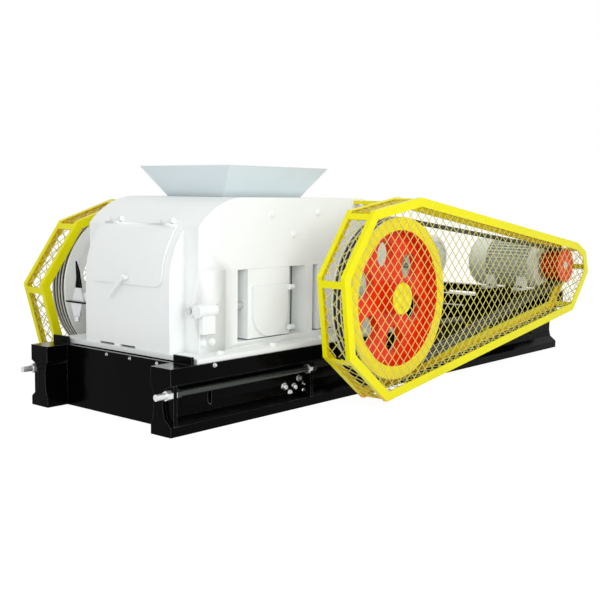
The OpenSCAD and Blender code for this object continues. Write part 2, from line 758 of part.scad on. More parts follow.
// A bar ring round the outline, w wide inwards and t thick from y
module outline_ring(x, w, y, t) slab_y(y, t) difference() {
    polygon(guard_points(x));
    polygon(inset(guard_points(x), w));
}

module guard_solid(x) {
    y0 = -guard_y - guard_d;
    // Front and back angle bars: a flange facing outwards and one along the rim
    outline_ring(x, angle_w, y0, angle_t);
    outline_ring(x, angle_t, y0, angle_w);
    outline_ring(x, angle_w, -guard_y - angle_t, angle_t);
    outline_ring(x, angle_t, -guard_y - angle_w, angle_w);
    // Struts between the two bars, at the corners
    pts = inset(guard_points(x), angle_t + 6);
    for (p = pts) translate([p[0], 0, p[1]]) translate([-8, y0 + angle_t, -8]) cube([16, guard_d - 2 * angle_t, 16]);
}
module near_guard() color("#f5e400") guard_solid(roll_b_x);
module far_guard() color("#f5e400") on_side(1) guard_solid(roll_a_x);

// Setback of the mesh from the guard's outline, clear of the struts
mesh_in = angle_t + 20;
module mesh_solid(x) {
    pts = guard_points(x);
    x0 = x - guard_r;
    slab_y(-guard_y - guard_d + angle_t, mesh_t) intersection() {
        polygon(inset(pts, mesh_in));
        union() for (i = [-8:36], s = [-1, 1])
            translate([x0 + i * mesh_l, axis_z]) rotate(s * atan2(mesh_h, mesh_l))
                translate([-1200, -strand_w / 2]) square([2400, strand_w]);
    }
}
module near_mesh() color("#ece9a8") mesh_solid(roll_b_x);
module far_mesh() color("#ece9a8") on_side(1) mesh_solid(roll_a_x);

// Flat bars that carry a guard: two from the beam's top flange and two from the top cover
module guard_brackets() color("#f5e400") for (s = [-1, 1]) on_side(s) {
    x = s < 0 ? roll_b_x : roll_a_x;
    for (px = [x + low_bracket_in, x + low_bracket_in + low_bracket_gap]) translate([px, -guard_y, beam_h - bracket_drop])
        cube([bracket_w, guard_y - base_w / 2, bracket_t]);
    for (px = [x + top_bracket_in, x + top_bracket_in + top_bracket_gap]) translate([px, -guard_y, house_top - bracket_drop - bracket_t])
        cube([bracket_w, guard_y - frame_out_w / 2, bracket_t]);
}

near_beam();
far_beam();
left_panel();
right_panel();
cross_members();
motor_deck();
motor_rails();
near_tie_rod();
far_tie_rod();
rod_brackets();
stop_plates();
near_side_frame();
far_side_frame();
housing_foot();
left_shell();
right_shell();
top_cover();
hopper();
door();
door_handle();
adjusting_screws();
near_block_a();
far_block_a();
near_block_b();
far_block_b();
shaft_a();
roll_a();
shaft_b();
roll_b();
near_pulley();
far_pulley();
near_belts();
far_belts();
near_motor();
far_motor();
near_motor_shaft();
far_motor_shaft();
near_motor_pulley();
far_motor_pulley();
near_guard();
far_guard();
near_mesh();
far_mesh();
guard_brackets();
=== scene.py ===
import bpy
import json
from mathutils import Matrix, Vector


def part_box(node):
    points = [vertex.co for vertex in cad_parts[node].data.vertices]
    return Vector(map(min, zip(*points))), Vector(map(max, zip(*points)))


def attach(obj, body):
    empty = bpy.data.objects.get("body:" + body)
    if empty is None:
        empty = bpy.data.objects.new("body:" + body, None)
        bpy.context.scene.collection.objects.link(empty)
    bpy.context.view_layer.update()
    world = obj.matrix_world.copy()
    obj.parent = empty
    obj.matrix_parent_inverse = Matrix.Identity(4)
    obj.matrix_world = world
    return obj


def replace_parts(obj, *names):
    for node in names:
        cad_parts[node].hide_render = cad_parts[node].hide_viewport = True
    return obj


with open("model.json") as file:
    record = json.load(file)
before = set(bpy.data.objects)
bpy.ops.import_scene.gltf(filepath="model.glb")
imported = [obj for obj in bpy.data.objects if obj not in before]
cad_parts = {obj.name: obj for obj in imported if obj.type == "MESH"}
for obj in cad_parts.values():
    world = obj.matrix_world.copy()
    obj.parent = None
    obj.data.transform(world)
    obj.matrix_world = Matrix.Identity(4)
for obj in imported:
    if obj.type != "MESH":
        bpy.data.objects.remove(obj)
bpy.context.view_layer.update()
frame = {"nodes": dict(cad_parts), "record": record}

import json
import math
import bmesh
import bpy
from mathutils import Matrix, Vector

nodes = frame["nodes"]
RIDES = {n: b for b, ns in frame["record"]["behaviour"]["bodies"].items() for n in ns}


# Materials

def link(tree, a, b):
    tree.links.new(a, b)


def paint(name, color, rough=0.35, vary=0.05, metal=0.0, coat=0.0, spec=0.5, grain=0.0, grain_size=400.0,
          wave=0.0, hollow_shade=0.0, hollow_shade_color=(0.2, 0.19, 0.17), reach=0.035, edge_wear_and_highlight=0.0, edge_wear_and_highlight_color=(0.6, 0.6, 0.6), wheel=None,
          past=None, top_spec=0.0):
    """A painted, rubber or metal surface: uneven colour and gloss, fine bump, painted shade in hollows from ambient
    occlusion, edges mixed toward an edge colour as wear on some parts and as a painted highlight on others.
    """
    m = bpy.data.materials.new(name)
    m.use_nodes = True
    t = m.node_tree
    n = t.nodes
    p = n["Principled BSDF"]
    p.inputs["Metallic"].default_value = metal
    p.inputs["Coat Weight"].default_value = coat
    p.inputs["Coat Roughness"].default_value = 0.08
    p.inputs["Specular IOR Level"].default_value = spec
    co = n.new("ShaderNodeTexCoord")
    big = n.new("ShaderNodeTexNoise")
    big.inputs["Scale"].default_value = 3.5
    big.inputs["Detail"].default_value = 6.0
    big.inputs["Roughness"].default_value = 0.6
    link(t, co.outputs["Object"], big.inputs["Vector"])
    ramp = n.new("ShaderNodeMapRange")
    ramp.inputs["From Min"].default_value = 0.3
    ramp.inputs["From Max"].default_value = 0.7
    ramp.inputs["To Min"].default_value = 1.0 - vary
    ramp.inputs["To Max"].default_value = 1.0 + vary * 0.3
    link(t, big.outputs["Fac"], ramp.inputs["Value"])
    tone = n.new("ShaderNodeVectorMath")
    tone.operation = "SCALE"
    tone.inputs[0].default_value = color
    if wheel:
        # A wheel painted in two colours: rim and hub in one, web in the other, its back in a third
        (cx, cz), r_in, r_out, ring_color, face_y, back_y, back_color, tread_r, tread_y = wheel
        sep = n.new("ShaderNodeSeparateXYZ")
        link(t, co.outputs["Object"], sep.inputs["Vector"])
        flat = n.new("ShaderNodeCombineXYZ")
        link(t, sep.outputs["X"], flat.inputs["X"])
        link(t, sep.outputs["Z"], flat.inputs["Z"])
        dist = n.new("ShaderNodeVectorMath")
        dist.operation = "DISTANCE"
        dist.inputs[1].default_value = (cx, 0, cz)
        link(t, flat.outputs["Vector"], dist.inputs[0])
        out_of = n.new("ShaderNodeMath")
        out_of.operation = "GREATER_THAN"
        out_of.inputs[1].default_value = r_out
        link(t, dist.outputs["Value"], out_of.inputs[0])
        within = n.new("ShaderNodeMath")
        within.operation = "LESS_THAN"
        within.inputs[1].default_value = r_in
        link(t, dist.outputs["Value"], within.inputs[0])
        size = n.new("ShaderNodeMath")
        size.operation = "ABSOLUTE"
        link(t, sep.outputs["Y"], size.inputs[0])
        front = n.new("ShaderNodeMath")
        front.operation = "GREATER_THAN"
        front.inputs[1].default_value = face_y
        link(t, size.outputs["Value"], front.inputs[0])
        cap = n.new("ShaderNodeMath")
        cap.operation = "MULTIPLY"
        link(t, within.outputs["Value"], cap.inputs[0])
        link(t, front.outputs["Value"], cap.inputs[1])
        both = n.new("ShaderNodeMath")
        both.operation = "MAXIMUM"
        link(t, out_of.outputs["Value"], both.inputs[0])
        link(t, cap.outputs["Value"], both.inputs[1])
        first = n.new("ShaderNodeMix")
        first.data_type = "RGBA"
        first.inputs["A"].default_value = (*color, 1)
        first.inputs["B"].default_value = (*ring_color, 1)
        link(t, both.outputs["Value"], first.inputs["Factor"])
        rear = n.new("ShaderNodeMath")
        rear.operation = "LESS_THAN"
        tread = n.new("ShaderNodeMath")
        tread.operation = "GREATER_THAN"
        tread.inputs[1].default_value = tread_r
        link(t, dist.outputs["Value"], tread.inputs[0])
        rear_y = n.new("ShaderNodeMath")
        rear_y.operation = "MULTIPLY_ADD"
        rear_y.inputs[1].default_value = tread_y - back_y
        rear_y.inputs[2].default_value = back_y
        link(t, tread.outputs["Value"], rear_y.inputs[0])
        link(t, rear_y.outputs["Value"], rear.inputs[1])
        link(t, size.outputs["Value"], rear.inputs[0])
        second = n.new("ShaderNodeMix")
        second.data_type = "RGBA"
        link(t, first.outputs["Result"], second.inputs["A"])
        second.inputs["B"].default_value = (*back_color, 1)
        link(t, rear.outputs["Value"], second.inputs["Factor"])
        link(t, second.outputs["Result"], tone.inputs[0])
    if past:
        # Another colour past a place along X
        x_from, x_color = past
        sep = n.new("ShaderNodeSeparateXYZ")
        link(t, co.outputs["Object"], sep.inputs["Vector"])
        beyond = n.new("ShaderNodeMath")
        beyond.operation = "GREATER_THAN"
        beyond.inputs[1].default_value = x_from
        link(t, sep.outputs["X"], beyond.inputs[0])
        part = n.new("ShaderNodeMix")
        part.data_type = "RGBA"
        part.inputs["A"].default_value = (*color, 1)
        part.inputs["B"].default_value = (*x_color, 1)
        link(t, beyond.outputs["Value"], part.inputs["Factor"])
        link(t, part.outputs["Result"], tone.inputs[0])
    if top_spec:
        # Wiped clean and glossy on its top sides
        geo = n.new("ShaderNodeNewGeometry")
        sep = n.new("ShaderNodeSeparateXYZ")
        link(t, geo.outputs["Normal"], sep.inputs["Vector"])
        shine = n.new("ShaderNodeMapRange")
        shine.inputs["From Min"].default_value = 0.9
        shine.inputs["From Max"].default_value = 0.97
        shine.inputs["To Min"].default_value = spec
        shine.inputs["To Max"].default_value = top_spec
        link(t, sep.outputs["Z"], shine.inputs["Value"])
        link(t, shine.outputs["Result"], p.inputs["Specular IOR Level"])
    link(t, ramp.outputs["Result"], tone.inputs["Scale"])
    base = tone.outputs["Vector"]
    # Painted shade: ambient occlusion mixes the colour toward a shade colour in hollows, corners and between parts
    if hollow_shade:
        ao = n.new("ShaderNodeAmbientOcclusion")
        ao.inputs["Distance"].default_value = reach
        ao.samples = 6
        shade_amount = n.new("ShaderNodeMapRange")
        shade_amount.inputs["From Min"].default_value = 0.75
        shade_amount.inputs["From Max"].default_value = 0.2
        shade_amount.inputs["To Max"].default_value = hollow_shade
        link(t, ao.outputs["AO"], shade_amount.inputs["Value"])
        mix = n.new("ShaderNodeMix")
        mix.data_type = "RGBA"
        link(t, shade_amount.outputs["Result"], mix.inputs["Factor"])
        link(t, base, mix.inputs["A"])
        mix.inputs["B"].default_value = (*hollow_shade_color, 1)
        base = mix.outputs["Result"]
    # Edges mixed toward the edge colour: wear on the iron and rubber, a painted highlight on the black enamel and the
    # white housing
    if edge_wear_and_highlight:
        bev = n.new("ShaderNodeBevel")
        bev.samples = 4
        bev.inputs["Radius"].default_value = 0.004
        geo = n.new("ShaderNodeNewGeometry")
        dot = n.new("ShaderNodeVectorMath")
        dot.operation = "DOT_PRODUCT"
        link(t, bev.outputs["Normal"], dot.inputs[0])
        link(t, geo.outputs["True Normal"], dot.inputs[1])
        fine = n.new("ShaderNodeTexNoise")
        fine.inputs["Scale"].default_value = 45.0
        fine.inputs["Detail"].default_value = 4.0
        link(t, co.outputs["Object"], fine.inputs["Vector"])
        off = n.new("ShaderNodeMath")
        off.operation = "MULTIPLY_ADD"
        off.inputs[1].default_value = 0.5
        link(t, fine.outputs["Fac"], off.inputs[0])
        link(t, dot.outputs["Value"], off.inputs[2])
        edge_amount = n.new("ShaderNodeMapRange")
        edge_amount.inputs["From Min"].default_value = 1.14
        edge_amount.inputs["From Max"].default_value = 1.0
        edge_amount.inputs["To Max"].default_value = edge_wear_and_highlight
        link(t, off.outputs["Value"], edge_amount.inputs["Value"])
        mix = n.new("ShaderNodeMix")
        mix.data_type = "RGBA"
        link(t, edge_amount.outputs["Result"], mix.inputs["Factor"])
        link(t, base, mix.inputs["A"])
        mix.inputs["B"].default_value = (*edge_wear_and_highlight_color, 1)
        base = mix.outputs["Result"]
    link(t, base, p.inputs["Base Color"])
    gloss = n.new("ShaderNodeMapRange")
    gloss.inputs["From Min"].default_value = 0.3
    gloss.inputs["From Max"].default_value = 0.7
    gloss.inputs["To Min"].default_value = rough * 0.8
    gloss.inputs["To Max"].default_value = rough * 1.3
    link(t, big.outputs["Fac"], gloss.inputs["Value"])
    link(t, gloss.outputs["Result"], p.inputs["Roughness"])
    normal = None
    for size, depth in ((grain_size, grain), (9.0, wave)):
        if depth:
            tex = n.new("ShaderNodeTexNoise")
            tex.inputs["Scale"].default_value = size
            tex.inputs["Detail"].default_value = 3.0
            link(t, co.outputs["Object"], tex.inputs["Vector"])
            b = n.new("ShaderNodeBump")
            b.inputs["Strength"].default_value = 0.6
            b.inputs["Distance"].default_value = depth
            link(t, tex.outputs["Fac"], b.inputs["Height"])
            if normal:
                link(t, normal, b.inputs["Normal"])
            normal = b.outputs["Normal"]
    if normal:
        link(t, normal, p.inputs["Normal"])
    return m


MATS = {
    # Black enamel: the lighter grey on its edges is a painted highlight
    "black_enamel": paint("black_enamel", (0.0012, 0.0012, 0.0013), rough=0.16, vary=0.3, spec=0.03, grain=0.0004, grain_size=160.0,
                          wave=0.003, edge_wear_and_highlight=0.8, edge_wear_and_highlight_color=(0.09, 0.1, 0.095), top_spec=1.0),
    "tie_rod": paint("tie_rod", (0.75, 0.76, 0.76), rough=0.3, vary=0.2, metal=0.8, grain=0.0003, grain_size=700.0, hollow_shade=0.3,
                     past=(-1.442, (0.05, 0.06, 0.055))),
    "rod_steel": paint("rod_steel", (0.72, 0.73, 0.74), rough=0.3, vary=0.2, metal=0.8, grain=0.0003, grain_size=700.0, hollow_shade=0.5),
    # Housing: painted shade in its corners and a painted highlight along its edges
    "housing_white": paint("housing_white", (0.85, 0.88, 0.87), rough=0.4, vary=0.03, grain=0.0003, grain_size=120.0, wave=0.002,
                           hollow_shade=0.28, hollow_shade_color=(0.25, 0.27, 0.26), edge_wear_and_highlight=0.3, edge_wear_and_highlight_color=(0.95, 0.96, 0.95)),
    "hopper_grey": paint("hopper_grey", (0.70, 0.78, 0.81), rough=0.45, vary=0.04, grain=0.0003, grain_size=120.0, wave=0.003,
                         hollow_shade=0.3),
    "shaft_steel": paint("shaft_steel", (0.45, 0.46, 0.47), rough=0.3, vary=0.15, metal=1.0, grain=0.0002, grain_size=600.0, hollow_shade=0.4),
    "roll_iron": paint("roll_iron", (0.16, 0.155, 0.15), rough=0.6, vary=0.3, metal=0.6, grain=0.0012, grain_size=90.0, hollow_shade=0.5,
                       edge_wear_and_highlight=0.7, edge_wear_and_highlight_color=(0.5, 0.5, 0.5)),
    # Dark red painted shade in the pulley's hollows
    "pulley_red": paint("pulley_red", (0.82, 0.016, 0.004), rough=0.3, vary=0.12, coat=0.08, spec=0.25, grain=0.0004, grain_size=150.0,
                        hollow_shade=0.5, hollow_shade_color=(0.15, 0.01, 0.005)),
    "belt_rubber": paint("belt_rubber", (0.010, 0.010, 0.011), rough=0.35, vary=0.3, grain=0.0005, grain_size=500.0,
                         edge_wear_and_highlight=0.5, edge_wear_and_highlight_color=(0.06, 0.06, 0.06)),
    "motor_grey": paint("motor_grey", (0.72, 0.76, 0.74), rough=0.45, vary=0.05, grain=0.0006, grain_size=220.0, hollow_shade=0.6),
    # Orange painted shade in the guard's hollows and on its inner sides
    "guard_yellow": paint("guard_yellow", (0.83, 0.78, 0.0), rough=0.3, vary=0.06, coat=0.05, spec=0.15, grain=0.0003, grain_size=150.0,
                          hollow_shade=0.85, hollow_shade_color=(0.98, 0.45, 0.0), reach=0.1),
    "mesh_wire": paint("mesh_wire", (0.68, 0.62, 0.12), rough=0.4, vary=0.15, grain=0.0003, grain_size=300.0),
}
YELLOW = (0.93, 0.80, 0.0)
WHITE = (0.93, 0.96, 0.95)
WHEELS = {}
for node in ("near_pulley", "far_pulley"):
    (x0, y0, z0), (x1, y1, z1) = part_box(node)
    inner, outer = sorted((abs(y0), abs(y1)))
    # Dark red painted shade in the wheels' hollows
    WHEELS[node] = paint(node + "_paint", (0.84, 0.024, 0.004), rough=0.3, vary=0.1, coat=0.08, spec=0.25, grain=0.0004, grain_size=150.0,
                         hollow_shade=0.3, hollow_shade_color=(0.12, 0.012, 0.005),
                         wheel=(((x0 + x1) / 2, (z0 + z1) / 2), 0.0665, 0.2785, YELLOW, outer - 0.002, inner + 0.006, WHITE,
                                0.317, 0.655))
for entry in frame["record"]["subparts"]:
    obj = nodes[entry["node"]]
    obj.data.materials.clear()
    own = MATS["tie_rod"] if "tie_rod" in entry["node"] else WHEELS.get(entry["node"])
    obj.data.materials.append(own or MATS[entry["material_slot"]])

# Shapes made here: each Piece gathers its parts in one mesh

class Piece:
    def __init__(self, name, body, slot):
        self.name, self.body, self.slot, self.bm = name, body, slot, bmesh.new()

    def faces(self, verts, faces):
        vs = [self.bm.verts.new(v) for v in verts]
        for f in faces:
            self.bm.faces.new([vs[i] for i in f])

    def prism(self, loop, push):
        """A flat outline pushed along a vector."""
        n = len(loop)
        push = Vector(push)
        loop = [Vector(v) for v in loop]
        self.faces(loop + [v + push for v in loop],
                   [tuple(range(n))[::-1], tuple(range(n, 2 * n))] + [(i, (i + 1) % n, n + (i + 1) % n, n + i) for i in range(n)])

    def turned(self, at, axis, profile, seg=24, spin=0.0):
        """A profile of (distance along the axis, radius) turned about the axis; 6 segments make a hexagon."""
        axis = Vector(axis).normalized()
        a = axis.orthogonal().normalized()
        b = axis.cross(a)
        at = Vector(at)
        verts, faces = [], []
        for d, r in profile:
            for i in range(seg):
                w = spin + 2 * math.pi * i / seg
                verts.append(at + axis * d + (a * math.cos(w) + b * math.sin(w)) * r)
        for k in range(len(profile) - 1):
            for i in range(seg):
                j = (i + 1) % seg
                faces.append((k * seg + i, k * seg + j, (k + 1) * seg + j, (k + 1) * seg + i))
        faces.append(tuple(range(seg))[::-1])
        last = (len(profile) - 1) * seg
        faces.append(tuple(range(last, last + seg)))
        self.faces(verts, faces)

    def box(self, lo, hi):
        """A block between two corners."""
        (x0, y0, z0), (x1, y1, z1) = lo, hi
        self.prism([(x0, y0, z0), (x1, y0, z0), (x1, y1, z0), (x0, y1, z0)], (0, 0, z1 - z0))

    def loft(self, loops, closed=False):
        """Skin over outlines with as many points each; closed joins the last to the first, else both ends get a lid."""
        n = len(loops[0])
        faces = []
        for k in range(len(loops) if closed else len(loops) - 1):
            a, b = k * n, (k + 1) % len(loops) * n
            faces += [(a + i, a + (i + 1) % n, b + (i + 1) % n, b + i) for i in range(n)]
        if not closed:
            last = (len(loops) - 1) * n
            faces += [tuple(range(n))[::-1], tuple(range(last, last + n))]
        self.faces([v for loop in loops for v in loop], faces)

    def bolt(self, at, axis, r=0.011, h=0.009, spin=0.3):
        """A hexagon bolt head with its washer, sunk 1 mm into its seat."""
        self.turned(at, axis, [(-0.001, r * 1.55), (r * 0.22, r * 1.55), (r * 0.28, r * 1.48)], 20)
        self.turned(at, axis, [(r * 0.2, r * 1.1), (h * 0.85, r * 1.1), (h, r * 0.92)], 6, spin)

    def done(self, angle=35, mat=None):
        bmesh.ops.recalc_face_normals(self.bm, faces=self.bm.faces)
        me = bpy.data.meshes.new(self.name)
        self.bm.to_mesh(me)
        self.bm.free()
        me.polygons.foreach_set("use_smooth", [True] * len(me.polygons))
        me.set_sharp_from_angle(angle=math.radians(angle))
        me.materials.append(mat or MATS[self.slot])
        o = bpy.data.objects.new(self.name, me)
        bpy.context.scene.collection.objects.link(o)
        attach(o, self.body)
        return o


def clip(line, poly):
    """The stretch of a line (point, direction) inside a convex outline, or None."""
    (px, py), (dx, dy) = line
    lo, hi = -1e9, 1e9
    n = len(poly)
    area2 = sum(poly[i][0] * poly[(i + 1) % n][1] - poly[(i + 1) % n][0] * poly[i][1] for i in range(n))
    s = 1 if area2 > 0 else -1
    for i in range(n):
        (ax, ay), (bx, by) = poly[i], poly[(i + 1) % n]
        nx, ny = -(by - ay) * s, (bx - ax) * s
        num = (ax - px) * nx + (ay - py) * ny
        den = dx * nx + dy * ny
        if abs(den) < 1e-12:
            if num > 0:
                return None
            continue
        t = num / den
        if den > 0:
            lo = max(lo, t)
        else:
            hi = min(hi, t)
    return (lo, hi) if hi - lo > 0.004 else None


def lattice(piece, poly, at, u, v, pitch_u, pitch_v, width, thick):
    """Expanded mesh inside a convex outline drawn in (u, v) from the point at: crossing strands, the two sets woven flat."""
    at, u, v = Vector(at), Vector(u), Vector(v)
    n = u.cross(v)
    us = [p[0] for p in poly]
    vs = [p[1] for p in poly]
    reach = (max(vs) - min(vs)) * pitch_u / pitch_v
    count = int((max(us) - min(us) + reach) / pitch_u) + 3
    for s in (1, -1):
        d = Vector((pitch_u, s * pitch_v)).normalized()
        side = Vector((-d.y, d.x)) * width / 2
        for i in range(-1, count):
            start = (min(us) - (reach if s > 0 else 0) + i * pitch_u, min(vs) if s > 0 else min(vs))
            if s < 0:
                start = (min(us) + i * pitch_u, min(vs))
            got = clip((start, (d.x, d.y)), poly)
            if not got:
                continue
            a = Vector(start) + d * got[0]
            b = Vector(start) + d * got[1]
            loop = [a - side, b - side, b + side, a + side]
            lift = n * (0.0004 * s)
            piece.prism([at + u * q.x + v * q.y + lift - n * thick / 2 for q in loop], n * thick)


def middle(node):
    lo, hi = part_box(node)
    return [(a + b) / 2 for a, b in zip(lo, hi)]


def inset(pts, d):
    """A convex outline moved inwards by d."""
    out = []
    n = len(pts)
    cx, cy = sum(p[0] for p in pts) / n, sum(p[1] for p in pts) / n
    for i in range(n):
        rows = []
        for a, b in ((pts[i - 1], pts[i]), (pts[i], pts[(i + 1) % n])):
            nx, ny = -(b[1] - a[1]), b[0] - a[0]
            k = math.hypot(nx, ny)
            nx, ny = nx / k, ny / k
            if (cx - a[0]) * nx + (cy - a[1]) * ny < 0:
                nx, ny = -nx, -ny
            rows.append((nx, ny, nx * a[0] + ny * a[1] + d))
        (a1, b1, c1), (a2, b2, c2) = rows
        det = a1 * b2 - a2 * b1
        out.append(((c1 * b2 - c2 * b1) / det, (a1 * c2 - a2 * c1) / det))
    return out


# Guards: angle bars tied by flats, a mesh sheet in place of the coarse CAD one, and a mesh strip round the rim
GUARD_R = {"near": (0.423, 0.423, 0.423, 0.423, 0.423), "far": (0.400, 0.423, 0.425, 0.400, 0.423)}
GUARD_ANGLES = {"near": (254, 210, 165.5, 122, 76.5), "far": (262, 218.5, 172, 125.5, 83)}
# The far guard hangs a little lower and further out than the near one
GUARD_SHIFT = {"near": (0.0, 0.0), "far": (-0.035, -0.035)}
GUARD_TAIL = ((0.067, 0.118), (0.168, 0.068), (0.204, -0.041), (0.041, -0.233))
# Widths of the angle bars across the front and along the rim, their thickness, and place and width of the flat ties
FRONT_LEG, RIM_LEG, BAR_T, TIE_IN, TIE_W = 0.037, 0.020, 0.005, 0.014, 0.028
# Outer sides of the base beams and of the side frames
BASE_Y, FRAME_Y = 0.415, 0.320
# Outer face of the pulleys' rims
FACE_Y = 0.657


def line_z(a, b, x):
    """Height at x on the line through a and b."""
    return a[1] + (b[1] - a[1]) * (x - a[0]) / (b[0] - a[0])


arms = Piece("guard_arms", "base", "guard_yellow")
for side, near in ((-1, "near"), (1, "far")):
    px, _, pz = middle(near + "_pulley")
    qx, _, qz = middle(near + "_motor_pulley")
    sx, sz = GUARD_SHIFT[near]
    outline = [(px + sx + r * math.cos(math.radians(a)), pz + sz + r * math.sin(math.radians(a)))
               for r, a in zip(GUARD_R[near], GUARD_ANGLES[near])]
    outline += [(qx + a, qz + b) for a, b in GUARD_TAIL]
    lo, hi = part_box(near + "_mesh")
    y = (lo[1] + hi[1]) / 2
    g_lo, g_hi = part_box(near + "_guard")
    y_out, y_in = (g_lo[1], g_hi[1]) if side < 0 else (g_hi[1], g_lo[1])
    bars = Piece(near + "_guard_bars", "base", "guard_yellow")
    for y_face, way in ((y_out, -side), (y_in, side)):
        section = ((0, 0), (0, RIM_LEG), (BAR_T, RIM_LEG), (BAR_T, BAR_T), (FRONT_LEG, BAR_T), (FRONT_LEG, 0))
        bars.loft([[(q[0], y_face + way * depth, q[1]) for q in inset(outline, d)] for d, depth in section], True)
    for i, a in enumerate(outline):
        a, b = Vector(a), Vector(outline[i - 1])
        u = (b - a).normalized()
        n = Vector((-u.y, u.x))
        quad = [a + u * d + n * t for d, t in ((TIE_IN, 0.001), (TIE_IN + TIE_W, 0.001), (TIE_IN + TIE_W, 0.007), (TIE_IN, 0.007))]
        bars.prism([(q.x, y_out - side * 0.001, q.y) for q in quad], (0, (y_in - y_out) * 0.985, 0))
    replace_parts(bars.done(), near + "_guard")
    # Flat bars that carry the guard: two with straps from the beam's top flange, two from the top cover
    for x0 in (px + 0.040, px + 0.920):
        arms.box((x0, min(y_in, side * BASE_Y), 0.207), (x0 + 0.040, max(y_in, side * BASE_Y), 0.221))
        z = line_z(outline[0], outline[-1], x0 + 0.040) + BAR_T
        arms.box((x0, min(y_in, y_in - side * 0.008), z), (x0 + 0.040, max(y_in, y_in - side * 0.008), 0.221))
    for x0 in (outline[4][0] + 0.020, outline[4][0] + 0.090):
        z = line_z(outline[4], outline[5], x0 + 0.020) - 0.0255
        arms.box((x0, min(y_in, side * FRAME_Y), z), (x0 + 0.040, max(y_in, side * FRAME_Y), z + 0.014))
    sheet = Piece(near + "_guard_mesh", "base", "mesh_wire")
    lattice(sheet, inset(outline, 0.012), (0, y, 0), (1, 0, 0), (0, 0, 1), 0.054, 0.052, 0.0026, 0.0022)
    o = sheet.done()
    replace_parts(o, near + "_mesh")
    rim = Piece(near + "_rim_mesh", "base", "mesh_wire")
    inner = inset(outline, 0.008)
    for i in range(len(inner)):
        a, b = inner[i], inner[(i + 1) % len(inner)]
        long = math.dist(a, b)
        u = Vector(((b[0] - a[0]) / long, 0, (b[1] - a[1]) / long))
        y0, y1 = g_lo[1] + 0.008, g_hi[1] - 0.008
        lattice(rim, [(0.004, 0), (long - 0.004, 0), (long - 0.004, y1 - y0), (0.004, y1 - y0)], (a[0], y0, a[1]),
                u, (0, 1, 0), 0.054, 0.052, 0.0030, 0.0022)
    rim.done()
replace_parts(arms.done(), "guard_brackets")

# Big pulleys: grooved rim, a web set back behind the rim's face with round holes, and a hub with a cap
RIM_R, RIM_T, HUB_R, HUB_OUT = 0.333, 0.055, 0.066, 0.018
WEB_IN, WEB_T, HOLE_R, HOLE_AT = 0.048, 0.040, 0.058, 0.182


def wheel_sector(r0, r1, mid, hole_at, hole_r):
    """Matching points round a sixth of a web and round its hole, as (x, z)."""
    rim_pts = []
    half = math.pi / 6
    for k in range(24):
        rim_pts.append((r1, mid - half + 2 * half * k / 24))
    for k in range(8):
        rim_pts.append((r1 + (r0 - r1) * k / 8, mid + half))
    for k in range(12):
        rim_pts.append((r0, mid + half - 2 * half * k / 12))
    for k in range(8):
        rim_pts.append((r0 + (r1 - r0) * k / 8, mid - half))
    rim_pts = [(r * math.cos(a), r * math.sin(a)) for r, a in rim_pts]
    hx, hz = hole_at * math.cos(mid), hole_at * math.sin(mid)
    hole = []
    for x, z in rim_pts:
        k = math.hypot(x - hx, z - hz)
        hole.append((hx + (x - hx) * hole_r / k, hz + (z - hz) * hole_r / k))
    return rim_pts, hole


for node, s in (("near_pulley", -1), ("far_pulley", 1)):
    lo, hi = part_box(node)
    cx, _, cz = middle(node)
    y_in = hi[1] if s < 0 else lo[1]
    wide = FACE_Y - abs(y_in)
    wheel = Piece(node + "_wheel", RIDES[node], "pulley_red")
    section = [(RIM_R - RIM_T, 0), (RIM_R - RIM_T, wide - 0.002), (RIM_R - RIM_T + 0.002, wide), (RIM_R - 0.002, wide),
               (RIM_R, wide - 0.002)]
    for k in (1.5, 0.5, -0.5, -1.5):
        mid = wide / 2 + k * 0.020
        section += [(RIM_R, mid + 0.0085), (RIM_R - 0.015, mid + 0.0063), (RIM_R - 0.015, mid - 0.0063), (RIM_R, mid - 0.0085)]
    section += [(RIM_R, 0.002), (RIM_R - 0.002, 0)]
    turns = [2 * math.pi * i / 144 for i in range(144)]
    wheel.loft([[(cx + r * math.cos(a), y_in + s * d, cz + r * math.sin(a)) for a in turns] for r, d in section], True)
    y1, y2 = y_in + s * (wide - WEB_IN), y_in + s * (wide - WEB_IN - WEB_T)
    for k in range(6):
        edge_pts, hole = wheel_sector(HUB_R - 0.002, RIM_R - RIM_T + 0.002, math.radians(102 - 60 * k), HOLE_AT, HOLE_R)
        wheel.loft([[(cx + x, y, cz + z) for x, z in loop] for loop, y in ((edge_pts, y1), (hole, y1), (hole, y2), (edge_pts, y2))], True)
    wheel.turned((cx, y_in, cz), (0, s, 0), [(0, HUB_R), (wide + HUB_OUT - 0.004, HUB_R), (wide + HUB_OUT, HUB_R - 0.004)], 64)
    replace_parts(wheel.done(30, WHEELS[node]), node)

# Feed hopper: four sloping sheets from the feed opening to the rim
lo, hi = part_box("hopper")
hx, top_z, foot_z = (lo[0] + hi[0]) / 2, hi[2], lo[2]
hopper = Piece("feed_hopper", "base", "hopper_grey")
hopper.loft([[(hx + i * a, j * b, z) for i, j in ((-1, -1), (1, -1), (1, 1), (-1, 1))]
             for a, b, z in ((0.233, 0.163, foot_z), (0.300, 0.2625, top_z), (0.292, 0.2545, top_z), (0.225, 0.155, foot_z))], True)
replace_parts(hopper.done(), "hopper")

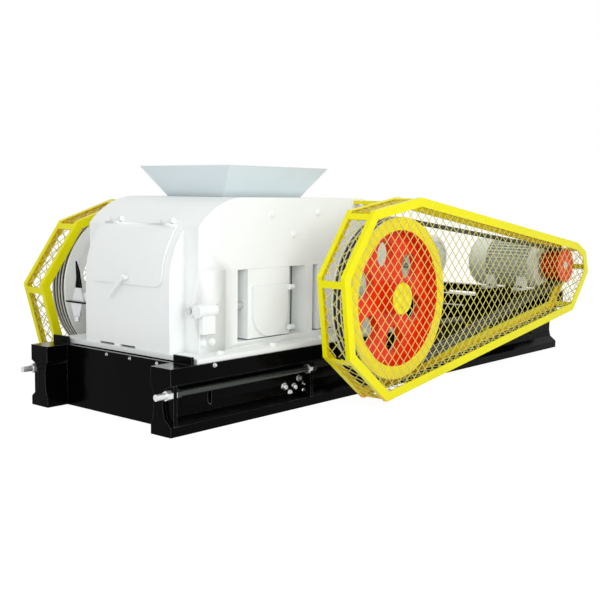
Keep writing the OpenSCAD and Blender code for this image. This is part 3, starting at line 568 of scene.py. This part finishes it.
# Housing: plates that close the adjustable roll's window beside its block, and the sheet over the motor end's opening
closers = Piece("window_closers", "base", "housing_white")
for s in (-1, 1):
    for x0, x1 in ((-1.047, -0.9945), (-0.7385, -0.644)):
        closers.box((x0, min(s * 0.2365, s * 0.2395), 0.285), (x1, max(s * 0.2365, s * 0.2395), 0.568))
closers.done()
sheet = Piece("motor_end_sheet", "base", "housing_white")
ARC_X, ARC_Z, ARC_R = -0.299, 0.523, 0.319
for k in range(14):
    a, b = (math.radians(-0.5 + 42 * i / 14) for i in (k, k + 1))
    sheet.prism([(ARC_X + r * math.cos(w), -0.198, ARC_Z + r * math.sin(w))
                 for r, w in ((ARC_R + 0.001, a), (ARC_R + 0.001, b), (ARC_R - 0.003, b), (ARC_R - 0.003, a))], (0, 0.396, 0))
sheet.done()


def carved(name, node, cuts):
    """A copy of a CAD node's mesh less some outlines pushed along a vector, shown in the node's place."""
    src = nodes[node]
    o = bpy.data.objects.new(name, src.data.copy())
    o.matrix_world = src.matrix_world
    bpy.context.scene.collection.objects.link(o)
    tools = []
    for loop, push in cuts:
        tool = Piece(name + "_cut", "base", "housing_white")
        tool.prism(loop, push)
        bmesh.ops.recalc_face_normals(tool.bm, faces=tool.bm.faces)
        me = bpy.data.meshes.new(name + "_cut")
        tool.bm.to_mesh(me)
        tool.bm.free()
        t = bpy.data.objects.new(name + "_cut", me)
        bpy.context.scene.collection.objects.link(t)
        mod = o.modifiers.new("cut", "BOOLEAN")
        mod.operation, mod.solver, mod.object = "DIFFERENCE", "EXACT", t
        tools.append(t)
    bpy.context.view_layer.update()
    made = bpy.data.meshes.new_from_object(o.evaluated_get(bpy.context.evaluated_depsgraph_get()))
    o.modifiers.clear()
    o.data = made
    for t in tools:
        bpy.data.objects.remove(t)
    made.polygons.foreach_set("use_smooth", [True] * len(made.polygons))
    made.set_sharp_from_angle(angle=math.radians(30))
    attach(o, RIDES.get(node, "base"))
    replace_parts(o, node)
    return o


# Door with rounded lower corners, and its leaning handle
DOOR_X, DOOR_Y, DOOR_Z, DOOR_R = -1.3387, 0.212, 0.508, 0.036
cuts = []
for s in (-1, 1):
    loop = [(s * (DOOR_Y + 0.005), DOOR_Z - 0.005), (s * (DOOR_Y + 0.005), DOOR_Z + DOOR_R)]
    for k in range(13):
        w = math.radians(90 * k / 12)
        loop.append((s * (DOOR_Y - DOOR_R + DOOR_R * math.cos(w)), DOOR_Z + DOOR_R - DOOR_R * math.sin(w)))
    loop.append((s * (DOOR_Y - DOOR_R), DOOR_Z - 0.005))
    cuts.append(([(DOOR_X - 0.03, y, z) for y, z in loop], (0.06, 0, 0)))
carved("door_leaf_plate", "door", cuts)
grip = Piece("door_grip", RIDES["door_handle"], "housing_white")
grip.turned((DOOR_X, -0.020, 0.534), (-1, 0, 0), [(0, 0.009), (0.024, 0.009)], 24)
lean = math.radians(46)
grip.prism([(DOOR_X - 0.032, -0.020 + y * math.cos(lean) - z * math.sin(lean), 0.534 + y * math.sin(lean) + z * math.cos(lean))
            for y, z in ((-0.006, 0.012), (0.006, 0.012), (0.006, -0.106), (-0.006, -0.106))], (0.010, 0, 0))
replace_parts(grip.done(), "door_handle")

# Side frames with a slimmer, longer boss of the adjusting screw: the tube, its collar and the block under it
boss = Piece("screw_bosses", "base", "housing_white")
for s, node in ((-1, "near_side_frame"), (1, "far_side_frame")):
    side_cut = [(-1.275, s * 0.3241, z) for z in (0.295, 0.470)] + [(-1.140, s * 0.3241, z) for z in (0.470, 0.295)]
    end_cut = [(-1.275, s * 0.365, z) for z in (0.295, 0.470)] + [(-1.2521, s * 0.365, z) for z in (0.470, 0.295)]
    carved(node + "_walls", node, [(side_cut, (0, s * 0.05, 0)), (end_cut, (0, -s * 0.064, 0))])
    boss.turned((-1.268, s * 0.326, 0.422), (1, 0, 0), [(0, 0.023), (0.002, 0.025), (0.007, 0.025), (0.009, 0.023), (0.092, 0.023)], 32)
    boss.box((-1.250, min(s * 0.340, s * 0.300), 0.336), (-1.184, max(s * 0.340, s * 0.300), 0.422))
    # Studs of the adjustable block's cover
    for z in (0.483, 0.320):
        boss.turned((-0.766, s * 0.335, z), (1, 0, 0), [(0, 0.009), (0.002, 0.011), (0.029, 0.011), (0.031, 0.009)], 20)
boss.done()

# What shows of the far side frame's end: a dark flange with a black blade over it, the blade a painted shade where a
# dark gap shows, a grey rib and a knob under it
black = Piece("far_screw_flange_and_gap_shade", "base", "black_enamel")
black.box((-1.286, 0.318, 0.3995), (-1.2515, 0.441, 0.4065))
# Painted shade: a black blade standing in for the dark gap above the flange
black.prism([(-1.276, y, z) for y, z in ((0.352, 0.462), (0.388, 0.462), (0.382, 0.500), (0.386, 0.572), (0.366, 0.530))], (0.008, 0, 0))
black.done()
grey = Piece("far_screw_rib", "base", "rod_steel")
grey.prism([(-1.276, y, z) for y, z in ((0.334, 0.4065), (0.412, 0.4065), (0.388, 0.463), (0.352, 0.463))], (0.008, 0, 0))
grey.prism([(-1.276, y, z) for y, z in ((0.345, 0.400), (0.425, 0.400), (0.398, 0.338), (0.366, 0.338))], (0.008, 0, 0))
grey.turned((-1.272, 0.382, 0.342), (0, 0, -1), [(0, 0.012), (0.018, 0.012), (0.022, 0.008)], 16)
grey.done()

# Bolts
ra, _, az_ = middle("far_pulley")
rb = middle("near_pulley")[0]
white = Piece("housing_bolts", "base", "housing_white")
dark = Piece("base_bolts", "base", "black_enamel")
bright = Piece("bright_bolts", "base", "rod_steel")
for s in (-1, 1):
    y = s * 0.320
    for x, z in ((-0.853, 0.775), (-0.568, 0.781), (-0.719, 0.693)):
        white.bolt((x, y, z), (0, s, 0), 0.010, 0.009)
    for x in (-1.232, -1.186):
        white.bolt((x, s * 0.324, 0.302), (0, s, 0), 0.010, 0.010)
    bright.bolt((-1.262, s * 0.415, 0.235), (0, s, 0), 0.0055, 0.009)
    for x in (-1.19, -0.9, -0.6, -0.3, -0.06):
        white.bolt((x, s * 0.372, 0.263), (0, 0, 1), 0.012, 0.011)
# Fittings in each beam's waist beyond the tie rod's bracket: nuts, and a hexagon nut on the tie rod
WAIST_Y = 0.373
for s in (-1, 1):
    for x, z, r in ((-0.832, 0.088, 0.011), (-0.806, 0.062, 0.013), (-0.772, 0.080, 0.010), (-0.742, 0.112, 0.009),
                    (-0.722, 0.058, 0.011), (-0.706, 0.084, 0.010)):
        bright.bolt((x, s * WAIST_Y, z), (0, s, 0), r, 0.014)
    _, rod_y, rod_z = middle("near_tie_rod" if s < 0 else "far_tie_rod")
    bright.turned((-0.722, rod_y, rod_z), (1, 0, 0), [(0, 0.019), (0.002, 0.021), (0.020, 0.021), (0.022, 0.019)], 6)
for y in (0.056, -0.081, -0.234):
    bright.bolt((-1.379, y, 0.234), (-1, 0, 0), 0.004, 0.006)
white.done()
bright.done()
for s in (-1, 1):
    for x in (1.060 - 0.127, 1.060 + 0.127):
        for y in (0.285, 0.462):
            dark.bolt((x, s * y, 0.380), (0, 0, 1), 0.008, 0.009)
dark.done()
for body, node, s in (("roller_b", "near_pulley", -1), ("roller_a", "far_pulley", 1)):
    lo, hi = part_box(node)
    x, _, z = middle(node)
    face = s * (FACE_Y + HUB_OUT)
    hub = Piece(node + "_hub_bolts", body, "guard_yellow")
    for dz in (-0.027, 0.027):
        hub.bolt((x + dz * 0.1, face, z + dz), (0, s, 0), 0.007, 0.004)
    hub.done()

# Stage: a white floor that shows no edge, soft light all round and a key light from the near side
floor_mesh = bpy.data.meshes.new("floor")
floor_mesh.from_pydata([(-30, -30, 0), (30, -30, 0), (30, 30, 0), (-30, 30, 0)], [], [(0, 1, 2, 3)])
floor = bpy.data.objects.new("floor", floor_mesh)
floor.location.z = -0.001
bpy.context.scene.collection.objects.link(floor)
fm = bpy.data.materials.new("floor_white")
fm.use_nodes = True
ft = fm.node_tree
ft.nodes.clear()
out = ft.nodes.new("ShaderNodeOutputMaterial")
mixs = ft.nodes.new("ShaderNodeMixShader")
path = ft.nodes.new("ShaderNodeLightPath")
seen = ft.nodes.new("ShaderNodeMath")
seen.operation = "MAXIMUM"
link(ft, path.outputs["Is Camera Ray"], seen.inputs[0])
link(ft, path.outputs["Is Glossy Ray"], seen.inputs[1])
share = ft.nodes.new("ShaderNodeMath")
share.operation = "MULTIPLY"
share.inputs[1].default_value = 0.82
link(ft, seen.outputs["Value"], share.inputs[0])
dif = ft.nodes.new("ShaderNodeBsdfDiffuse")
dif.inputs["Color"].default_value = (0.8, 0.8, 0.8, 1)
emi = ft.nodes.new("ShaderNodeEmission")
emi.inputs["Strength"].default_value = 1.14
link(ft, share.outputs["Value"], mixs.inputs["Fac"])
link(ft, dif.outputs["BSDF"], mixs.inputs[1])
link(ft, emi.outputs["Emission"], mixs.inputs[2])
link(ft, mixs.outputs["Shader"], out.inputs["Surface"])
floor_mesh.materials.append(fm)

world = bpy.data.worlds.new("studio")
bpy.context.scene.world = world
world.use_nodes = True
wt = world.node_tree
bg = wt.nodes["Background"]
wp = wt.nodes.new("ShaderNodeLightPath")
wm = wt.nodes.new("ShaderNodeMath")
wm.operation = "MAXIMUM"
link(wt, wp.outputs["Is Camera Ray"], wm.inputs[0])
link(wt, wp.outputs["Is Glossy Ray"], wm.inputs[1])
ws = wt.nodes.new("ShaderNodeMapRange")
ws.inputs["To Min"].default_value = 0.60
ws.inputs["To Max"].default_value = 1.0
link(wt, wm.outputs["Value"], ws.inputs["Value"])
link(wt, ws.outputs["Result"], bg.inputs["Strength"])
bg.inputs["Color"].default_value = (1, 1, 1, 1)


def area(name, at, aim, size, power):
    d = bpy.data.lights.new(name, "AREA")
    d.size = size
    d.energy = power
    o = bpy.data.objects.new(name, d)
    o.location = at
    o.rotation_euler = (Vector(aim) - Vector(at)).to_track_quat("-Z", "Y").to_euler()
    bpy.context.scene.collection.objects.link(o)


area("key", (-0.6, -4.6, 3.0), (0, 0, 0.4), 3.0, 96)
area("end_fill", (-4.6, -2.7, 1.5), (-1, 0.2, 0.4), 2.5, 70)
area("top", (0, 0.6, 4.4), (0, 0, 0.5), 3.0, 20)

# Camera
az, el, roll = (math.radians(a) for a in (-49.475, 6.163, 0.705))
back = Vector((math.sin(az) * math.cos(el), -math.cos(az) * math.cos(el), math.sin(el)))
right = Vector((math.cos(az), math.sin(az), 0))
up = back.cross(right)
axes = (right * math.cos(roll) + up * math.sin(roll), up * math.cos(roll) - right * math.sin(roll), back)
place = Matrix(axes).transposed().to_4x4()
place.translation = Vector((-0.4364, -0.115, 0.3883)) + back * 4.4279
cam_data = bpy.data.cameras.new("camera")
cam_data.lens = 59.74
cam_data.sensor_width = 36
cam = bpy.data.objects.new("camera", cam_data)
cam.matrix_world = place
bpy.context.scene.collection.objects.link(cam)
bpy.context.scene.camera = cam
bpy.context.scene.view_settings.view_transform = "Standard"
